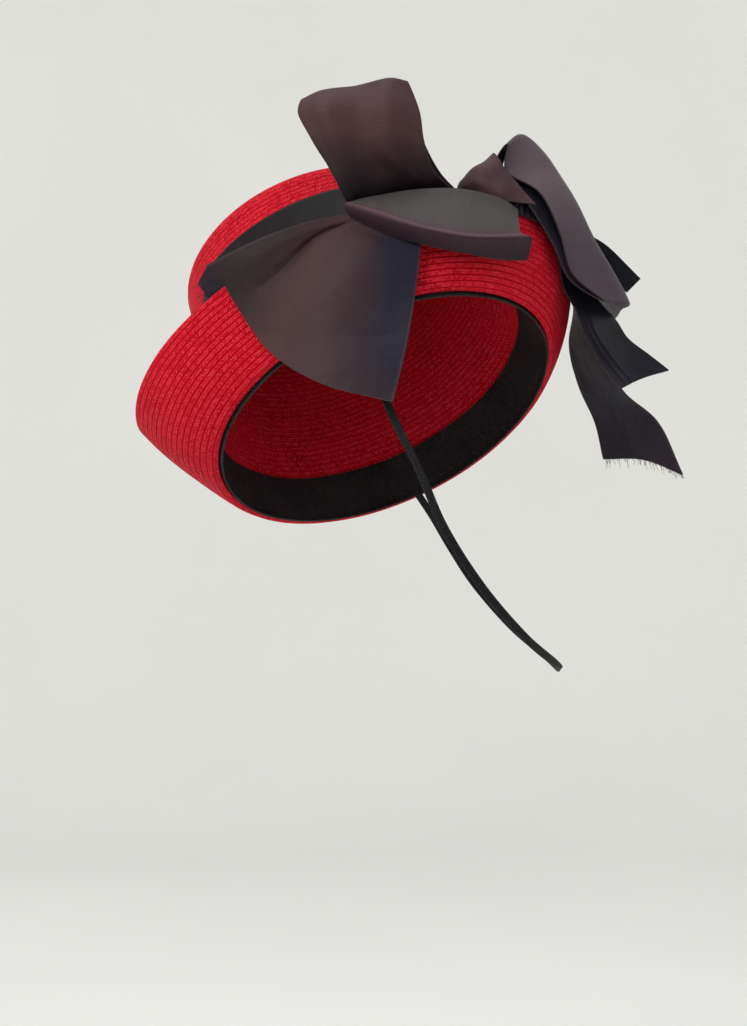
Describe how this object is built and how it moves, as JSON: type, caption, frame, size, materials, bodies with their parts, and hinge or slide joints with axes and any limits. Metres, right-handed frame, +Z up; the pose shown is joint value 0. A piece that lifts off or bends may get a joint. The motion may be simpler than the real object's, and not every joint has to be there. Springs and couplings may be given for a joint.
{
  "type": "tilt hat",
  "caption": "Small tilt hat of sewn straw braid with a turned-up brim, a tall crown, a wide taffeta ribbon with loops and tails, and a thin back strap.",
  "frame": {"origin": "centre of the head opening, where the hat sits on a head", "axes": "+Z up as worn, -Y towards the front of the hat, +X towards the wearer's left; the hat keeps its worn tilt"},
  "size_m": [0.1802, 0.2489, 0.2598],
  "materials": {
    "straw_braid": "lacquered sewn straw braid, satin",
    "taffeta": "two-tone taffeta ribbon, soft sheen",
    "inner_band": "ribbed ribbon, matte",
    "strap_cord": "covered elastic cord, matte"
  },
  "bodies": {
    "root": {"straw_brim": "straw_braid", "straw_crown": "straw_braid", "head_band": "inner_band", "hat_band": "taffeta", "bow_tack": "taffeta", "back_tack": "taffeta", "bow_inner_ply": "taffeta", "bow_loop": "taffeta", "bow_flap": "taffeta", "bow_tail": "taffeta", "back_puff": "taffeta", "back_loop": "taffeta", "back_tail_upper": "taffeta", "back_tail_middle": "taffeta", "back_tail_lower": "taffeta", "back_strap": "strap_cord"}
  },
  "joints": []
}
